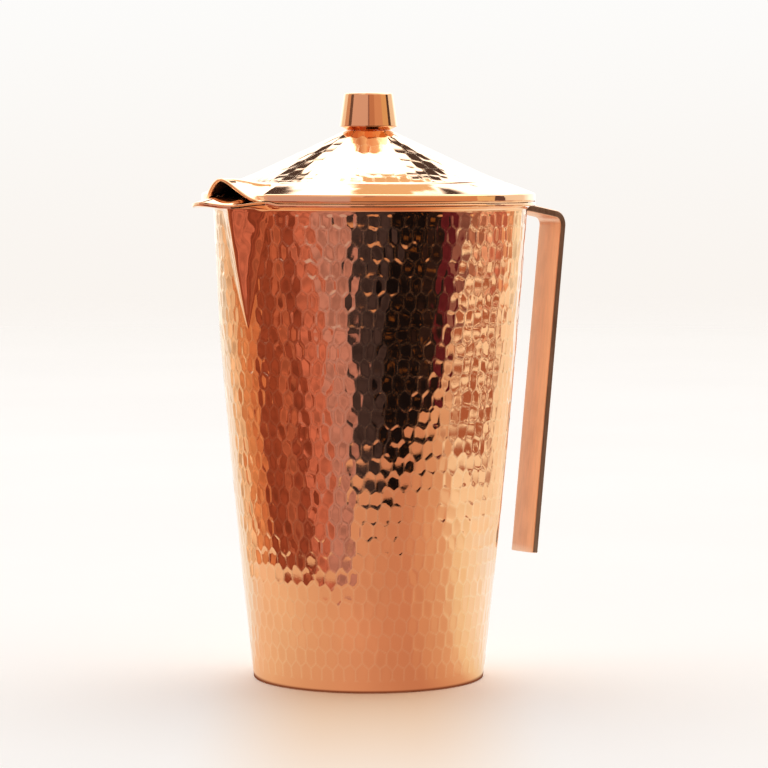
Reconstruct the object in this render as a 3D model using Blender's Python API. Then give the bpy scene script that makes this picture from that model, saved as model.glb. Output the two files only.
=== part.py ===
"""Copper water jug: a tapered body with a drawn spout and a flared lip, an open strap handle,
and a lift-off cone lid with a hood over the spout and a turned knob.

Metres, +Z up. The origin is the centre of the base's underside. The handle points along +X and the spout
along -X. Angles named "turn" are measured about +Z from the spout's middle line, in radians.
"""

import math

import bmesh
import bpy
from mathutils import Matrix, Vector

# Sheet and clearances
SHEET = 0.0013
LID_SHEET = 0.0010
GAP = 0.0003
COLLAR_CLEARANCE = 0.0008

# Body wall: outer radii at the foot and just under the lip, with a slight outward bow between them
FOOT_RADIUS = 0.0489
SHOULDER_RADIUS = 0.0670
FOOT_EASE = 0.0003
WALL_TOP = 0.1990
WALL_BOW = 0.0010

# Spout: two flat flanks that start at a point on the wall and open upwards to a nose
SPOUT_FOOT = 0.1500
SPOUT_REACH = 0.0073
SPOUT_HALF_TURN = math.radians(14.2)
SPOUT_GROWTH = 0.85
NOSE_SOFTNESS = math.radians(1.2)
DRAW_IN = 0.0021
DRAW_IN_FROM = math.radians(10)
DRAW_IN_TO = math.radians(80)

# Lip: the flared rim, its drawn-out beak and the raised crest over which the water runs
LIP_RADIUS = 0.0705
LIP_TOP = 0.2017
LIP_THICK = 0.0017
LIP_EASE = 0.0004
BEAK_CENTRE = 0.0692
BEAK_ROUND = 0.0180
BEAK_BLEND = 0.0012
CREST_RISE = 0.0030
CREST_TURN = math.radians(8)
CREST_END = math.radians(12)
BEAK_THICKER = 0.0003
WAVE = (
    (0.0, 0.0008),
    (math.radians(9.5), -0.0003),
    (math.radians(15.5), 0.0010),
    (math.radians(21), 0.0),
)

# Base: a shallow pan let into the foot of the wall
BASE_PLATE = 0.0012
BASE_FLANGE_TOP = 0.0042
BASE_EASE = 0.0003

# Handle: a flat bar bent into an open J
STRAP_WIDTH = 0.0145
STRAP_THICK = 0.0031
STRAP_EDGE = 0.0005
TAB_FOOT = 0.1640
TAB_TOP = 0.1978
ARM_APEX = (0.0825, 0.1989)
ARM_ELBOW = (0.10446, 0.1949)
LEG_END = (0.0882, 0.0466)
TAB_BEND = 0.0050
APEX_BEND = 0.0300
ELBOW_BEND = 0.0049
BEND_STEPS = 7

# Rivets that hold the handle's tab
RIVET_HEIGHTS = {"lower": 0.1705, "upper": 0.1830}
RIVET_RADIUS = 0.0020
RIVET_HEAD_RADIUS = 0.0042
RIVET_HEAD_HEIGHT = 0.0019
RIVET_TAIL_RADIUS = 0.0032
RIVET_TAIL_HEIGHT = 0.0012
BURR_RADIUS = 0.0044
BURR_THICK = 0.0008
BURR_STANDOFF = 0.0005

# Lid: cone, flange and skirt, with the hood over the spout
LID_TOP = 0.2319
LID_FLAT_RADIUS = 0.0095
CONE_KNEE = (0.0438, 0.2158)
CREASE = (0.0572, 0.2103)
FLANGE_END = (0.0694, 0.2058)
SKIRT_RADIUS = 0.0704
SKIRT_FOOT = LIP_TOP + GAP
SKIRT_BEND = 0.0009
HOOD_REACH = 0.0774
HOOD_FOOT = (0.0728, 0.0162, 0.2032)
HOOD_TOP = 0.2120
HOOD_CURVE = 0.0055
HOOD_TURN = math.atan2(HOOD_FOOT[1], HOOD_FOOT[0])
HOOD_BLEND = math.radians(4.5)
HOOD_BLEND_FROM = (math.radians(9.0), math.radians(11.5))

# Collar that locates the lid in the mouth, open at the spout
COLLAR_FOOT = 0.1955
COLLAR_THICK = 0.0010
COLLAR_OPEN_TURN = math.radians(19)

# Knob, its screw and washer
KNOB_FOOT_RADIUS = 0.0093
KNOB_RADIUS = 0.0122
KNOB_TOP_RADIUS = 0.01025
KNOB_FOOT = LID_TOP + GAP
KNOB_SHOULDER = 0.2334
KNOB_TOP = 0.2472
KNOB_CROWN = 0.0004
SCREW_RADIUS = 0.0020
SCREW_HOLE_RADIUS = SCREW_RADIUS + GAP
SCREW_HOLE_TOP = 0.2425
SCREW_TIP = 0.2415
SCREW_HEAD_RADIUS = 0.0038
SCREW_HEAD_HEIGHT = 0.0024
SCREW_SLOT_WIDTH = 0.0010
SCREW_SLOT_DEPTH = 0.0011
WASHER_RADIUS = 0.0062
WASHER_THICK = 0.0010

# Facet counts
FINE_STEP = math.radians(1.6)
FINE_COLUMNS = 24
COARSE_COLUMNS = 56
TURNED_STEPS = 48
SMALL_STEPS = 24

# Colours, linear RGB
COPPER = (0.87, 0.42, 0.25, 1.0)
AGED_COPPER = (0.62, 0.29, 0.18, 1.0)
BRASS = (0.78, 0.57, 0.26, 1.0)


def clear_scene():
    for item in list(bpy.data.objects):
        bpy.data.objects.remove(item, do_unlink=True)


def metal(name, colour, roughness):
    material = bpy.data.materials.new(name)
    material.use_nodes = True
    shader = material.node_tree.nodes["Principled BSDF"]
    shader.inputs["Base Color"].default_value = colour
    shader.inputs["Metallic"].default_value = 1.0
    shader.inputs["Roughness"].default_value = roughness
    return material


def add_object(name, mesh, material, parent=None):
    mesh.materials.append(material)
    mesh.shade_smooth()
    mesh.set_sharp_from_angle(angle=math.radians(28))
    item = bpy.data.objects.new(name, mesh)
    bpy.context.scene.collection.objects.link(item)
    item.parent = parent
    return item


def finish_mesh(name, shape):
    bmesh.ops.remove_doubles(shape, verts=shape.verts, dist=1e-6)
    bmesh.ops.recalc_face_normals(shape, faces=shape.faces)
    mesh = bpy.data.meshes.new(name)
    shape.to_mesh(mesh)
    shape.free()
    return mesh


def smooth_step(value):
    value = min(1.0, max(0.0, value))
    return value * value * (3.0 - 2.0 * value)


def mix(low, high, share):
    return low + (high - low) * share


# ---- The body's shape -------------------------------------------------------------------------


def wall_radius(height):
    share = height / WALL_TOP
    straight = mix(FOOT_RADIUS, SHOULDER_RADIUS, share)
    return straight + 4.0 * WALL_BOW * share * (1.0 - share)


def spout_share(height):
    rise = (height - SPOUT_FOOT) / (WALL_TOP - SPOUT_FOOT)
    return min(1.0, max(0.0, rise)) ** SPOUT_GROWTH


def wall_reach(turn, height):
    """Distance from the axis to the wall's outer face, with the spout's flat flanks."""
    radius = wall_radius(height)
    share = spout_share(height)
    turn = abs(turn)
    crease = SPOUT_HALF_TURN * share
    if turn >= crease or share == 0.0:
        along = (turn - DRAW_IN_FROM) / (DRAW_IN_TO - DRAW_IN_FROM)
        inward = math.sin(math.pi * min(1.0, max(0.0, along))) ** 2
        return radius - DRAW_IN * share * inward
    nose = radius + SPOUT_REACH * share
    side = (radius * math.cos(crease), radius * math.sin(crease))
    soft = min(crease, math.sqrt(turn * turn + (NOSE_SOFTNESS * share) ** 2))
    return nose * side[1] / (side[1] * math.cos(soft) + (nose - side[0]) * math.sin(soft))


def lip_reach(turn):
    """Distance from the axis to the lip's edge: a circle that blends into the beak's rounded nose."""
    across = BEAK_CENTRE * math.sin(turn)
    if abs(across) >= BEAK_ROUND or math.cos(turn) < 0.0:
        return LIP_RADIUS
    beak = BEAK_CENTRE * math.cos(turn) + math.sqrt(BEAK_ROUND**2 - across**2)
    gap = beak - LIP_RADIUS
    return 0.5 * (beak + LIP_RADIUS + math.sqrt(gap * gap + BEAK_BLEND**2))


def lip_wave(turn):
    """How far the lip's edge stands above its level height: up at the tip, down on the flanks."""
    turn = abs(turn)
    for (near, low), (far, high) in zip(WAVE, WAVE[1:]):
        if turn <= far:
            return mix(low, high, smooth_step((turn - near) / (far - near)))
    return 0.0


def crest_rise(turn):
    return CREST_RISE * (1.0 - smooth_step((abs(turn) - CREST_TURN) / (CREST_END - CREST_TURN)))


def spot(turn, reach, height):
    return Vector((-reach * math.cos(turn), -reach * math.sin(turn), height))


def wall_heights():
    low = [FOOT_EASE, 0.040, 0.080, 0.115]
    return low + [mix(SPOUT_FOOT, 0.196, step / 6) for step in range(7)]


def body_section(turn):
    """The wall's closed outline on one side of the axis: up the outside, over the lip, down the inside."""
    outside = [(wall_reach(turn, height), height) for height in wall_heights()]
    inside = [(reach - SHEET, height) for reach, height in reversed(outside[1:])]
    foot = FOOT_RADIUS - SHEET
    inside += [(foot, FOOT_EASE), (foot, 0.0), (FOOT_RADIUS - FOOT_EASE, 0.0)]
    root = wall_reach(turn, WALL_TOP)
    edge = lip_reach(turn)
    wide = edge - root
    wave = lip_wave(turn)
    thicker = 1.0 - smooth_step((abs(turn) - WAVE[2][0]) / WAVE[1][0])
    under = LIP_TOP - LIP_THICK - BEAK_THICKER * thicker
    rise = crest_rise(turn)
    rim = [
        (root + 0.10 * wide, WALL_TOP - 0.0005 + 0.4 * rise),
        (root + 0.35 * wide, under - 0.0004 + 0.8 * rise),
        (root + 0.70 * wide, under + 0.5 * wave + 0.45 * rise),
        (edge - LIP_EASE, under + wave),
        (edge, under + LIP_EASE + wave),
        (edge, LIP_TOP - LIP_EASE + wave),
        (edge - LIP_EASE, LIP_TOP + wave),
        (root + 0.60 * wide, LIP_TOP + 0.5 * wave + 0.6 * rise),
        (root + 0.25 * wide, LIP_TOP + rise),
        (root - 0.05 * wide, LIP_TOP - 0.0002 + 0.9 * rise),
        (root - 0.75 * SHEET - 0.05 * wide, WALL_TOP + 0.0010 + 0.4 * rise),
    ]
    return [spot(turn, reach, height) for reach, height in outside + rim + inside]


def turns():
    """Column positions round the jug, closer together at the spout."""
    fine = [FINE_STEP * (step - FINE_COLUMNS / 2) for step in range(FINE_COLUMNS)]
    start = FINE_STEP * FINE_COLUMNS / 2
    sweep = 2.0 * math.pi - 2.0 * start
    return fine + [start + sweep * step / COARSE_COLUMNS for step in range(COARSE_COLUMNS)]


def ring_mesh(name, sections):
    """A closed solid from closed sections set round the axis."""
    shape = bmesh.new()
    columns = [[shape.verts.new(point) for point in section] for section in sections]
    for near, far in zip(columns, columns[1:] + columns[:1]):
        for index in range(len(near)):
            after = (index + 1) % len(near)
            shape.faces.new((near[index], far[index], far[after], near[after]))
    return finish_mesh(name, shape)


def turned_mesh(name, profile, steps=TURNED_STEPS, closed=False):
    """A solid of revolution about +Z from (radius, height) points."""
    shape = bmesh.new()
    points = [shape.verts.new((radius, 0.0, height)) for radius, height in profile]
    edges = [shape.edges.new(pair) for pair in zip(points, points[1:])]
    if closed:
        edges.append(shape.edges.new((points[-1], points[0])))
    bmesh.ops.spin(
        shape, geom=points + edges, axis=(0, 0, 1), cent=(0, 0, 0), angle=2 * math.pi, steps=steps
    )
    return finish_mesh(name, shape)


def bore(target, radius, matrix, depth):
    """Cuts a round hole through a piece, along the matrix's Z axis."""
    shape = bmesh.new()
    bmesh.ops.create_cone(
        shape, cap_ends=True, segments=SMALL_STEPS, radius1=radius, radius2=radius, depth=depth
    )
    cutter = bpy.data.objects.new(f"{target.name}_bore", finish_mesh("bore", shape))
    bpy.context.scene.collection.objects.link(cutter)
    cutter.matrix_world = matrix
    add_cut(target, cutter)


def add_cut(target, cutter):
    cutter.display_type = "WIRE"
    cutter.hide_render = True
    cut = target.modifiers.new("cut", "BOOLEAN")
    cut.operation = "DIFFERENCE"
    cut.solver = "EXACT"
    cut.object = cutter


# ---- Body pieces ------------------------------------------------------------------------------


def rivet_frame(height):
    """Where a rivet's axis leaves the wall: Z points outwards, square to the tapered wall."""
    step = 0.001
    slope = (wall_radius(height + step) - wall_radius(height - step)) / (2 * step)
    tilt = math.pi / 2 + math.atan(slope)
    return Matrix.Translation((wall_radius(height), 0, height)) @ Matrix.Rotation(tilt, 4, "Y")


def make_body_wall(copper):
    mesh = ring_mesh("body_wall", [body_section(turn) for turn in turns()])
    wall = add_object("body_wall", mesh, copper)
    for height in RIVET_HEIGHTS.values():
        bore(wall, RIVET_RADIUS + GAP, rivet_frame(height), 0.010)
    return wall


def make_base_disc(copper, parent):
    foot = FOOT_RADIUS - SHEET - GAP
    top = wall_radius(BASE_FLANGE_TOP) - SHEET - GAP
    profile = [
        (0, 0),
        (foot - BASE_EASE, 0),
        (foot, BASE_EASE),
        (top, BASE_FLANGE_TOP),
        (top - SHEET, BASE_FLANGE_TOP),
        (foot - SHEET, BASE_PLATE + 0.0010),
        (foot - SHEET - 0.0010, BASE_PLATE),
        (0, BASE_PLATE),
    ]
    return add_object("base_disc", turned_mesh("base_disc", profile), copper, parent)


# ---- Handle -----------------------------------------------------------------------------------


def rounded_path(corners, bends):
    """A polyline through the corners, each inner one rounded to its bend radius."""
    path = [Vector(corners[0])]
    for before, corner, after, bend in zip(corners, corners[1:], corners[2:], bends):
        into = (Vector(corner) - Vector(before)).normalized()
        out = (Vector(after) - Vector(corner)).normalized()
        half = into.angle(out) / 2
        centre = Vector(corner) + (out - into).normalized() * bend / math.cos(half)
        start = Vector(corner) - into * bend * math.tan(half) - centre
        side = 1 if into.x * out.y - into.y * out.x > 0 else -1
        for step in range(BEND_STEPS + 1):
            turn = side * 2 * half * step / BEND_STEPS
            path.append(centre + Matrix.Rotation(turn, 2) @ start)
    return path + [Vector(corners[-1])]


def strap_path():
    stand = GAP + STRAP_THICK / 2
    tab_foot = (wall_radius(TAB_FOOT) + stand, TAB_FOOT)
    tab_top = (wall_radius(TAB_TOP) + stand, TAB_TOP)
    corners = [tab_foot, tab_top, ARM_APEX, ARM_ELBOW, LEG_END]
    return rounded_path(corners, [TAB_BEND, APEX_BEND, ELBOW_BEND])


def strap_outline():
    """The bent bar's side view: both faces of the path, half a thickness apart."""
    path = strap_path()
    left, right = [], []
    for index, point in enumerate(path):
        before = path[max(0, index - 1)]
        after = path[min(len(path) - 1, index + 1)]
        along = (after - before).normalized()
        across = Vector((-along.y, along.x)) * STRAP_THICK / 2
        left.append(point + across)
        right.append(point - across)
    return left + right[::-1]


def make_handle_strap(copper, parent):
    shape = bmesh.new()
    outline = strap_outline()
    half = STRAP_WIDTH / 2
    face = shape.faces.new([shape.verts.new((point.x, -half, point.y)) for point in outline])
    moved = bmesh.ops.extrude_face_region(shape, geom=[face])["geom"]
    moved = [item for item in moved if isinstance(item, bmesh.types.BMVert)]
    bmesh.ops.translate(shape, verts=moved, vec=(0, STRAP_WIDTH, 0))
    strap = add_object("handle_strap", finish_mesh("handle_strap", shape), copper, parent)
    ease = strap.modifiers.new("ease", "BEVEL")
    ease.width = STRAP_EDGE
    ease.segments = 1
    ease.limit_method = "ANGLE"
    ease.angle_limit = math.radians(50)
    for height in RIVET_HEIGHTS.values():
        bore(strap, RIVET_RADIUS + GAP, rivet_frame(height), 0.016)
    return strap


def make_rivet(place, height, copper, parent):
    head = 2 * GAP + STRAP_THICK
    tail = -(SHEET + BURR_STANDOFF + BURR_THICK + GAP)
    arc = [math.radians(degrees) for degrees in range(0, 91, 15)]
    dome = [
        (RIVET_HEAD_RADIUS * math.cos(turn), head + RIVET_HEAD_HEIGHT * math.sin(turn)) for turn in arc
    ]
    peened = [
        (RIVET_TAIL_RADIUS * math.cos(turn), tail - RIVET_TAIL_HEIGHT * math.sin(turn)) for turn in arc
    ]
    profile = dome[::-1] + [(RIVET_RADIUS, head), (RIVET_RADIUS, tail)] + peened
    mesh = turned_mesh(f"handle_rivet_{place}", profile, SMALL_STEPS)
    rivet = add_object(f"handle_rivet_{place}", mesh, copper, parent)
    rivet.matrix_world = rivet_frame(height)
    return rivet


def make_burr(place, height, copper, parent):
    top = -(SHEET + BURR_STANDOFF)
    inner = RIVET_RADIUS + GAP
    profile = [
        (inner, top),
        (BURR_RADIUS, top),
        (BURR_RADIUS, top - BURR_THICK),
        (inner, top - BURR_THICK),
    ]
    mesh = turned_mesh(f"rivet_burr_{place}", profile, SMALL_STEPS, closed=True)
    burr = add_object(f"rivet_burr_{place}", mesh, copper, parent)
    burr.matrix_world = rivet_frame(height)
    return burr


# ---- Lid --------------------------------------------------------------------------------------


def lid_profile():
    """(radius, height) from the screw hole out to the skirt's foot, and where the crease is in it."""
    knee_slope = (LID_TOP - CONE_KNEE[1]) / (CONE_KNEE[0] - LID_FLAT_RADIUS)
    cone = [(SCREW_HOLE_RADIUS, LID_TOP), (LID_FLAT_RADIUS, LID_TOP)]
    for share in (0.33, 0.67, 1.0):
        radius = mix(LID_FLAT_RADIUS, CONE_KNEE[0], share)
        cone.append((radius, LID_TOP - knee_slope * (radius - LID_FLAT_RADIUS)))
    halfway = 0.5 * (CREASE[0] - CONE_KNEE[0])
    control = (CONE_KNEE[0] + halfway, CONE_KNEE[1] - knee_slope * halfway)
    for share in (0.33, 0.67, 1.0):
        start = [mix(CONE_KNEE[axis], control[axis], share) for axis in (0, 1)]
        end = [mix(control[axis], CREASE[axis], share) for axis in (0, 1)]
        cone.append((mix(start[0], end[0], share), mix(start[1], end[1], share)))
    flange = [
        (mix(CREASE[0], FLANGE_END[0], share), mix(CREASE[1], FLANGE_END[1], share))
        for share in (0.25, 0.5, 0.75, 1.0)
    ]
    skirt = [
        (SKIRT_RADIUS - 0.3 * SKIRT_BEND, FLANGE_END[1] - 0.45 * SKIRT_BEND),
        (SKIRT_RADIUS, FLANGE_END[1] - 1.3 * SKIRT_BEND),
        (SKIRT_RADIUS, SKIRT_FOOT),
    ]
    return cone, flange + skirt


def hood_drop(across):
    """How far the hood's section falls from its ridge: a rounded top, then straight sides."""
    slope = (HOOD_TOP - HOOD_FOOT[2]) / (math.hypot(HOOD_FOOT[1], HOOD_CURVE) - HOOD_CURVE)
    return slope * (math.hypot(across, HOOD_CURVE) - HOOD_CURVE)


def hood_point(turn, share):
    """A point of the hood's outer face: share 0 on the lid's crease, 1 on the opening's edge."""
    across_end = HOOD_FOOT[1] * turn / HOOD_TURN
    lean = min(1.0, abs(across_end) / HOOD_FOOT[1])
    reach_end = mix(HOOD_REACH, HOOD_FOOT[0], lean**2)
    start = (CREASE[0] * math.cos(turn), CREASE[0] * math.sin(turn))
    reach = mix(start[0], reach_end, share)
    across = mix(start[1], across_end, share)
    run = (reach - CREASE[0]) / (HOOD_FOOT[0] - CREASE[0])
    ridge = mix(CREASE[1], HOOD_TOP, smooth_step(0.5 + 0.5 * run) * 2 - 1 if run > 0 else 0.0)
    fall = hood_drop(across) * min(1.0, max(0.0, run)) ** 0.9
    return Vector((-reach, -across, ridge - fall))


def lid_section(turn):
    cone, rim = lid_profile()
    signed = (turn + math.pi) % (2 * math.pi) - math.pi
    points = [spot(turn, radius, height) for radius, height in cone]
    for index, (radius, height) in enumerate(rim):
        plain = spot(turn, radius, height)
        share = (index + 1) / len(rim)
        blend_from = mix(*HOOD_BLEND_FROM, share)
        if abs(signed) > blend_from + HOOD_BLEND:
            points.append(plain)
            continue
        hooded = hood_point(signed, share)
        weight = smooth_step((abs(signed) - blend_from) / HOOD_BLEND)
        points.append(hooded.lerp(plain, weight))
    return points


def inner_skin(grid):
    """The same grid one sheet thickness further in, square to the surface."""
    skin = []
    for number, column in enumerate(grid):
        left = grid[number - 1]
        right = grid[(number + 1) % len(grid)]
        inner = []
        for index, point in enumerate(column):
            before = column[max(0, index - 1)]
            after = column[min(len(column) - 1, index + 1)]
            square = (right[index] - left[index]).cross(after - before).normalized()
            inner.append(point + square * LID_SHEET)
        skin.append(inner)
    return skin


def above_lip(point):
    """The point, lifted where needed to clear the lip below it."""
    turn = math.atan2(-point.y, -point.x)
    rest = LIP_TOP + max(0.0, lip_wave(turn)) + crest_rise(turn) + GAP
    return Vector((point.x, point.y, max(point.z, rest)))


def make_lid_shell(copper):
    grid = [lid_section(turn) for turn in turns()]
    sections = []
    for outer, inner in zip(grid, inner_skin(grid)):
        sections.append([above_lip(point) for point in outer + inner[::-1]])
    return add_object("lid_shell", ring_mesh("lid_shell", sections), copper)


def flange_under(radius):
    """Height of the flange's underside, less the clearance."""
    slope = (CREASE[1] - FLANGE_END[1]) / (FLANGE_END[0] - CREASE[0])
    return CREASE[1] - slope * (radius - CREASE[0]) - LID_SHEET * math.hypot(1.0, slope) - GAP


def make_lid_collar(copper, parent):
    """A strip bent into a ring that follows the mouth and stays open at the spout."""
    shape = bmesh.new()
    sweep = 2 * math.pi - 2 * COLLAR_OPEN_TURN
    steps = COARSE_COLUMNS
    sections = []
    for step in range(steps + 1):
        turn = COLLAR_OPEN_TURN + sweep * step / steps
        signed = (turn + math.pi) % (2 * math.pi) - math.pi
        outer = wall_reach(signed, COLLAR_FOOT) - SHEET - COLLAR_CLEARANCE
        inner = outer - COLLAR_THICK
        corners = [
            (outer, COLLAR_FOOT),
            (outer, flange_under(outer)),
            (inner, flange_under(inner)),
            (inner, COLLAR_FOOT),
        ]
        sections.append([shape.verts.new(spot(turn, *corner)) for corner in corners])
    for near, far in zip(sections, sections[1:]):
        for index in range(4):
            after = (index + 1) % 4
            shape.faces.new((near[index], far[index], far[after], near[after]))
    shape.faces.new(sections[0])
    shape.faces.new(sections[-1])
    return add_object("lid_collar", finish_mesh("lid_collar", shape), copper, parent)


def make_knob(copper, parent):
    profile = [
        (0, KNOB_TOP + KNOB_CROWN),
        (0.5 * KNOB_TOP_RADIUS, KNOB_TOP + 0.75 * KNOB_CROWN),
        (KNOB_TOP_RADIUS - 0.0006, KNOB_TOP),
        (KNOB_TOP_RADIUS, KNOB_TOP - 0.0006),
        (KNOB_RADIUS, KNOB_SHOULDER + 0.0003),
        (KNOB_RADIUS - 0.0003, KNOB_SHOULDER),
        (KNOB_FOOT_RADIUS, KNOB_FOOT + 0.0002),
        (KNOB_FOOT_RADIUS - 0.0002, KNOB_FOOT),
        (SCREW_HOLE_RADIUS, KNOB_FOOT),
        (SCREW_HOLE_RADIUS, SCREW_HOLE_TOP - SCREW_HOLE_RADIUS * 0.6),
        (0, SCREW_HOLE_TOP),
    ]
    return add_object("knob", turned_mesh("knob", profile), copper, parent)


def make_knob_washer(copper, parent):
    top = LID_TOP - LID_SHEET - GAP
    profile = [
        (SCREW_HOLE_RADIUS, top),
        (WASHER_RADIUS, top),
        (WASHER_RADIUS, top - WASHER_THICK),
        (SCREW_HOLE_RADIUS, top - WASHER_THICK),
    ]
    mesh = turned_mesh("knob_washer", profile, SMALL_STEPS, closed=True)
    return add_object("knob_washer", mesh, copper, parent)


def make_knob_screw(brass, parent):
    seat = LID_TOP - LID_SHEET - WASHER_THICK - 2 * GAP
    foot = seat - SCREW_HEAD_HEIGHT
    profile = [
        (0, SCREW_TIP),
        (SCREW_RADIUS - 0.0005, SCREW_TIP),
        (SCREW_RADIUS, SCREW_TIP - 0.0005),
        (SCREW_RADIUS, seat),
        (SCREW_HEAD_RADIUS, seat),
        (SCREW_HEAD_RADIUS, seat - 0.5 * SCREW_HEAD_HEIGHT),
        (0.7 * SCREW_HEAD_RADIUS, foot + 0.0002),
        (0, foot),
    ]
    screw = add_object("knob_screw", turned_mesh("knob_screw", profile, SMALL_STEPS), brass, parent)
    shape = bmesh.new()
    bmesh.ops.create_cube(shape, size=1.0)
    size = (4 * SCREW_HEAD_RADIUS, SCREW_SLOT_WIDTH, 2 * SCREW_SLOT_DEPTH)
    bmesh.ops.scale(shape, vec=size, verts=shape.verts)
    slot = bpy.data.objects.new("knob_screw_slot", finish_mesh("slot", shape))
    bpy.context.scene.collection.objects.link(slot)
    slot.location = (0, 0, foot)
    add_cut(screw, slot)
    return screw


def main():
    clear_scene()
    polished = metal("polished_copper", COPPER, 0.08)
    satin = metal("satin_copper", AGED_COPPER, 0.30)
    brass = metal("brass", BRASS, 0.25)
    body = make_body_wall(polished)
    make_base_disc(satin, body)
    make_handle_strap(satin, body)
    for place, height in RIVET_HEIGHTS.items():
        make_rivet(place, height, satin, body)
        make_burr(place, height, satin, body)
    lid = make_lid_shell(polished)
    make_lid_collar(satin, lid)
    make_knob(polished, lid)
    make_knob_washer(satin, lid)
    make_knob_screw(brass, lid)


main()
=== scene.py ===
"""Looks for the copper water jug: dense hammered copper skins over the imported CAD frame, and a small studio.

Metres. The jug stands on z = 0, its handle along +X and its spout along -X. "turn" is an angle about +Z
from the spout's middle line, in radians, as in the part's source.
"""

import math

import bmesh
import bpy
import numpy as np
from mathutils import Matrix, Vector

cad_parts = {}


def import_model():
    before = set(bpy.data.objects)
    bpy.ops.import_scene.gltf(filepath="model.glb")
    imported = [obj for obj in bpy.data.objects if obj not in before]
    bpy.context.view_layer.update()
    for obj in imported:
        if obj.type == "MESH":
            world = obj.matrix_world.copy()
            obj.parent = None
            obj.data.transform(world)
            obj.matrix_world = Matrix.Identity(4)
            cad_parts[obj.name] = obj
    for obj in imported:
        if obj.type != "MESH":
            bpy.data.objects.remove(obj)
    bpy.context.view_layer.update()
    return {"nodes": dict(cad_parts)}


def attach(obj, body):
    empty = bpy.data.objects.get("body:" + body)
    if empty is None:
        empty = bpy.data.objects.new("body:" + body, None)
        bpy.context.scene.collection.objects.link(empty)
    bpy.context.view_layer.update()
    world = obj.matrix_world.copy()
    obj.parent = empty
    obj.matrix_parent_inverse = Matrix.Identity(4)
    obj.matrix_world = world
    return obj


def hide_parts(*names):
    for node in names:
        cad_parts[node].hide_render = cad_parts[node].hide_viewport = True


# ---- Driving dimensions, repeated from the part's source ---------------------------------------

SHEET = 0.0013
LID_SHEET = 0.0010
GAP = 0.0003
FOOT_RADIUS = 0.0489
SHOULDER_RADIUS = 0.0670
FOOT_EASE = 0.0003
WALL_TOP = 0.1990
WALL_BOW = 0.0010
SPOUT_FOOT = 0.1500
SPOUT_REACH = 0.0073
SPOUT_HALF_TURN = math.radians(14.2)
SPOUT_GROWTH = 0.85
NOSE_SOFTNESS = math.radians(1.2)
DRAW_IN = 0.0021
DRAW_IN_FROM = math.radians(10)
DRAW_IN_TO = math.radians(80)
LIP_RADIUS = 0.0705
LIP_TOP = 0.2017
LIP_THICK = 0.0014
BEAK_CENTRE = 0.0692
BEAK_ROUND = 0.0180
BEAK_BLEND = 0.0012
BEAK_THICKER = 0.0003
CREST_RISE = 0.0030
CREST_TURN = math.radians(8)
CREST_END = math.radians(12)
WAVE_TURNS = np.radians([0.0, 9.5, 15.5, 21.0])
WAVE_RISES = (0.0008, -0.0003, 0.0010, 0.0)
STRAP_WIDTH = 0.0145
STRAP_THICK = 0.0031
TAB_FOOT = 0.1640
TAB_TOP = 0.1978
ARM_APEX = (0.0825, 0.1989)
ARM_ELBOW = (0.10446, 0.1949)
LEG_END = (0.0882, 0.0466)
TAB_BEND = 0.0050
APEX_BEND = 0.0300
ELBOW_BEND = 0.0049
LID_TOP = 0.2319
LID_FLAT_RADIUS = 0.0095
SCREW_HOLE_RADIUS = 0.0023
CONE_KNEE = (0.0438, 0.2158)
CREASE = (0.0572, 0.2103)
FLANGE_END = (0.0694, 0.2058)
SKIRT_RADIUS = 0.0704
SKIRT_FOOT = LIP_TOP + GAP
SKIRT_BEND = 0.0009
HOOD_REACH = 0.0774
HOOD_FOOT = (0.0728, 0.0162, 0.2032)
HOOD_TOP = 0.2120
HOOD_CURVE = 0.0055
HOOD_TURN = math.atan2(HOOD_FOOT[1], HOOD_FOOT[0])
HOOD_BLEND = math.radians(4.5)
HOOD_BLEND_FROM = (math.radians(9.0), math.radians(11.5))
KNOB_FOOT_RADIUS = 0.0093
KNOB_RADIUS = 0.0122
KNOB_TOP_RADIUS = 0.01025
KNOB_FOOT = LID_TOP + 0.00004
KNOB_SHOULDER = 0.2334
KNOB_TOP = 0.2475
KNOB_CROWN = 0.0001
SCREW_HOLE_TOP = 0.2425

# ---- Finish of the skins ------------------------------------------------------------------------

BODY_COLUMNS = 760
LID_COLUMNS = 540
WALL_STEP = 0.00060
WALL_GRID = (0.0004, 0.1979)
MARK_WIDTH = 0.0050
MARK_HEIGHT = 0.0067
MARK_SPREAD = 0.00030
MARK_DISH_ACROSS = 1.8
MARK_DISH_UP = 4.3
MARK_TILT_ACROSS = 0.034
MARK_TILT_UP = 0.016
MARK_BORDER = 0.0010
CONE_TILT_SHARE = 0.45
WALL_MARKS = (0.0044, 0.1976)
CONE_MARKS = (0.0100, 0.0570)
MARK_FADE = 0.0012
RIDGE_WIDTH = 0.00030
SPOUT_CLEAR_TURN = math.radians(3.0)
CREASE_STEP = 0.00036
CREASE_STEP_WIDTH = 0.0009
FLANGE_BULGE = 0.00010
FLANK_HOLLOW = 0.00085
FLANK_WAVE = 0.00005

# Painted highlight: the ridges between hammer marks get a paler copper colour, for the bright lines they catch
RIDGE_HIGHLIGHT_SHARE = 0.42
RIDGE_ROUGHNESS = 0.14
RIDGE_HIGHLIGHT_COPPER = (1.0, 0.88, 0.66, 1.0)

# ---- Camera: a long lens at the height of the lid, seen from the spout's right --------------------

CAMERA_TURN = math.radians(-38.4)
CAMERA_DISTANCE = 1.376
CAMERA_HEIGHT = 0.2208
CAMERA_PITCH = math.radians(4.0)
CAMERA_LENS = 152.3
CAMERA_SENSOR = 36.0
CAMERA_SHIFT = 0.0202

# ---- Studio: what the copper reflects. Azimuths are degrees from the camera round to its right ------

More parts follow.
